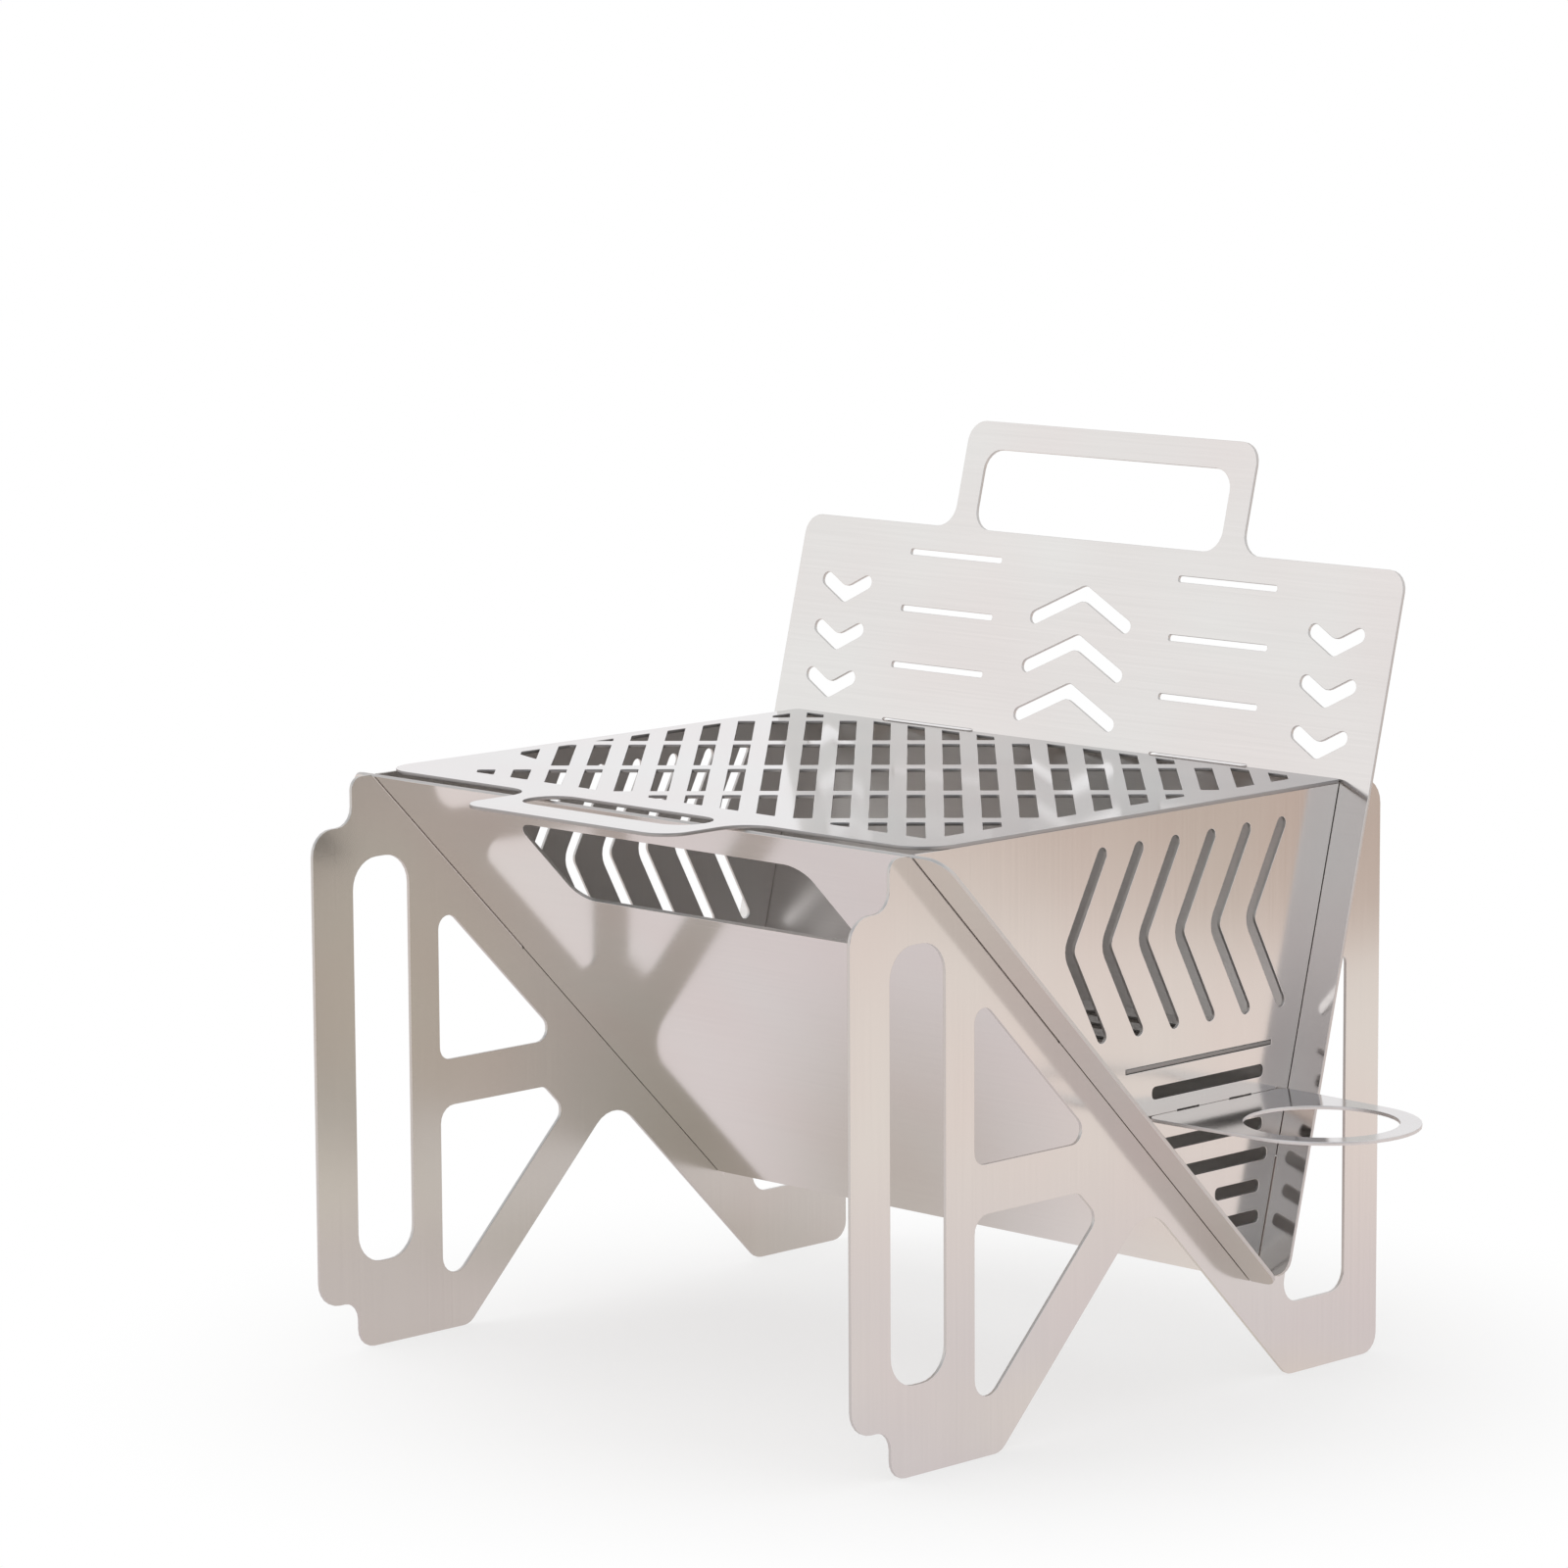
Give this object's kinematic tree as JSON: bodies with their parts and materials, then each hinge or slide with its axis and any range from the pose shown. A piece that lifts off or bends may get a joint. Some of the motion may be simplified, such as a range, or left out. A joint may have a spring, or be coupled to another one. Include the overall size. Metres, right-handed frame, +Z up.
{
  "type": "folding wood stove",
  "caption": "Flat-pack wood stove of slotted steel sheets: legged end plates, leaning front and rear walls, lattice grill grate, fire grate and a side ring holder.",
  "frame": {"origin": "on the ground, at the middle of the overall box; the end plates' mid-plane lies 32.3 mm towards -X from it, because the ring holder counts in the box", "axes": "+X from the left end plate towards the ring holder, +Y from the pull of the grill grate towards the rear panel, +Z up"},
  "size_m": [0.3416, 0.2638, 0.3031],
  "materials": {
    "end_plate_steel": "fine brushed stainless sheet, warm and softly mirrored",
    "wall_steel": "fine brushed stainless sheet, warm and softly mirrored",
    "grate_steel": "fine brushed stainless sheet, cool light grey",
    "fire_grate_steel": "plain stainless sheet in shade",
    "holder_steel": "fine brushed stainless sheet, light grey"
  },
  "bodies": {
    "base": {"left_end_plate": "end_plate_steel", "right_end_plate": "end_plate_steel", "fire_grate": "fire_grate_steel"},
    "rear_wall": {"rear_panel": "wall_steel"},
    "grate": {"grill_grate": "grate_steel"},
    "front_wall": {"front_panel": "wall_steel"},
    "side_ring": {"ring_holder": "holder_steel"}
  },
  "joints": [
    {"name": "rear_panel_slide", "type": "slide", "parent": "base", "child": "rear_wall", "axis": [0, 0.2487, 0.9686], "range_m": [0, 0.125]},
    {"name": "grill_grate_slide", "type": "slide", "parent": "rear_wall", "child": "grate", "axis": [0, -1, 0], "range_m": [0, 0.01]},
    {"name": "front_panel_slide", "type": "slide", "parent": "base", "child": "front_wall", "axis": [0, -0.7071, 0.7071], "range_m": [0, 0.0965]},
    {"name": "ring_holder_slide", "type": "slide", "parent": "base", "child": "side_ring", "axis": [1, 0, 0], "range_m": [0, 0.0065]}
  ],
  "couplings": [
    {"joint": "front_panel_slide", "follows": "rear_panel_slide", "ratio": 0.77}
  ]
}
